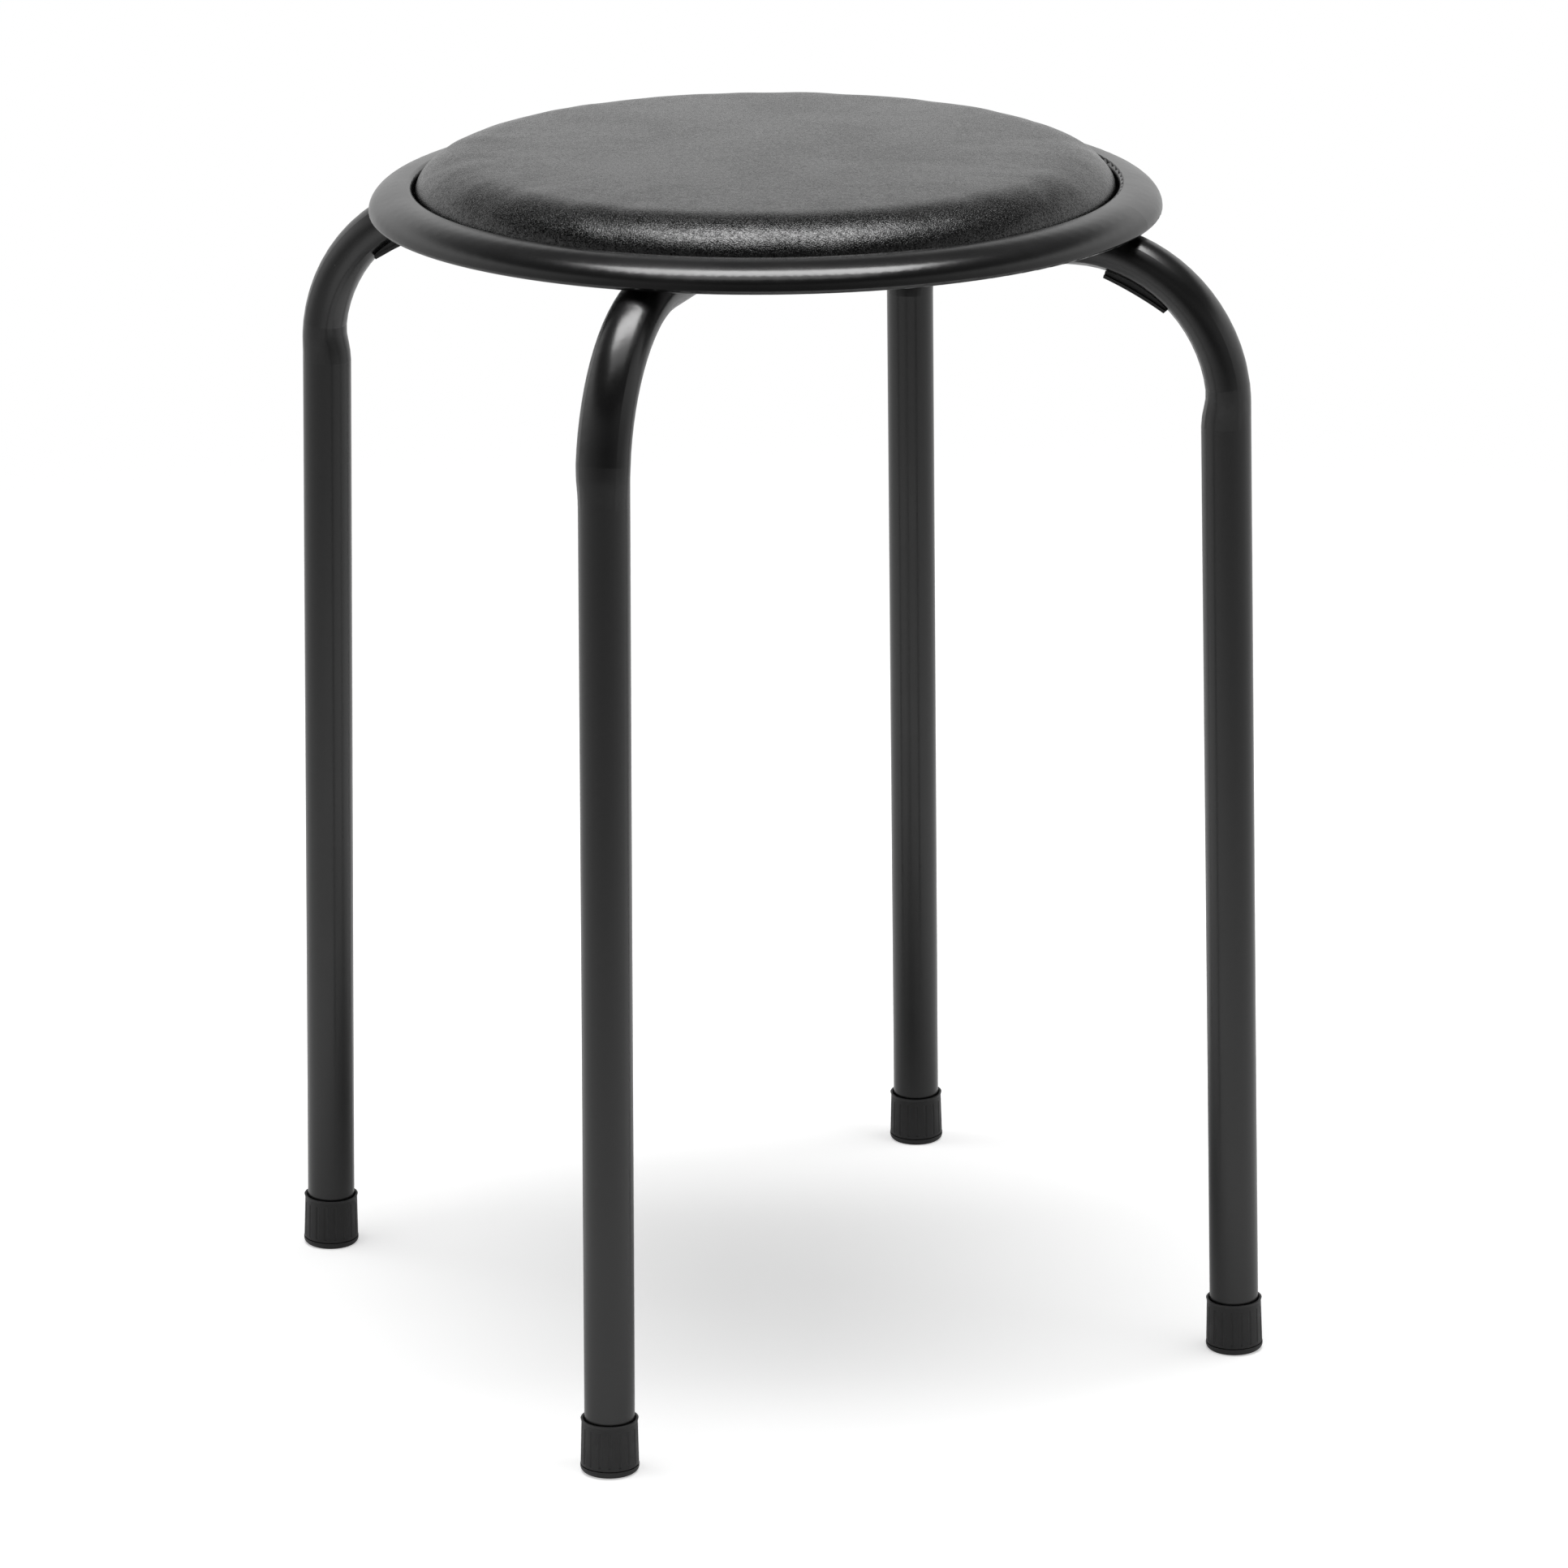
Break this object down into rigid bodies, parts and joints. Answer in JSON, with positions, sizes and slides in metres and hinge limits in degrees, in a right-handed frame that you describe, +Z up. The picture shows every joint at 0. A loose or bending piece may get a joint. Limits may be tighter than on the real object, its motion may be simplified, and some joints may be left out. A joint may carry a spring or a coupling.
{
  "type": "stacking stool",
  "caption": "Round backless stacking stool with a padded black vinyl seat in a pressed steel pan, on bent black steel tube legs with ribbed plastic feet.",
  "frame": {"origin": "on the floor under the middle of the seat", "axes": "+Z up; one leg stands on each of +X (right), +Y (back), -X (left) and -Y (front)"},
  "size_m": [0.4052, 0.4052, 0.4684],
  "materials": {
    "powder_coated_steel": "satin",
    "vinyl": "satin",
    "black_plastic": "matte",
    "plywood": "matte",
    "foam": "matte",
    "staple_wire": "satin",
    "zinc_steel": "satin"
  },
  "bodies": {
    "root": {"seat_pan": "powder_coated_steel", "cushion_board": "plywood", "cushion_foam": "foam", "cushion_cover": "vinyl", "cover_staples": "staple_wire", "leg_frame_side": "powder_coated_steel", "leg_frame_front": "powder_coated_steel", "seat_screw_centre": "zinc_steel", "board_nut_centre": "zinc_steel", "foot_front": "black_plastic", "stacking_pad_front": "black_plastic", "seat_screw_front": "zinc_steel", "board_nut_front": "zinc_steel", "foot_right": "black_plastic", "stacking_pad_right": "black_plastic", "seat_screw_right": "zinc_steel", "board_nut_right": "zinc_steel", "foot_back": "black_plastic", "stacking_pad_back": "black_plastic", "seat_screw_back": "zinc_steel", "board_nut_back": "zinc_steel", "foot_left": "black_plastic", "stacking_pad_left": "black_plastic", "seat_screw_left": "zinc_steel", "board_nut_left": "zinc_steel"}
  },
  "joints": []
}
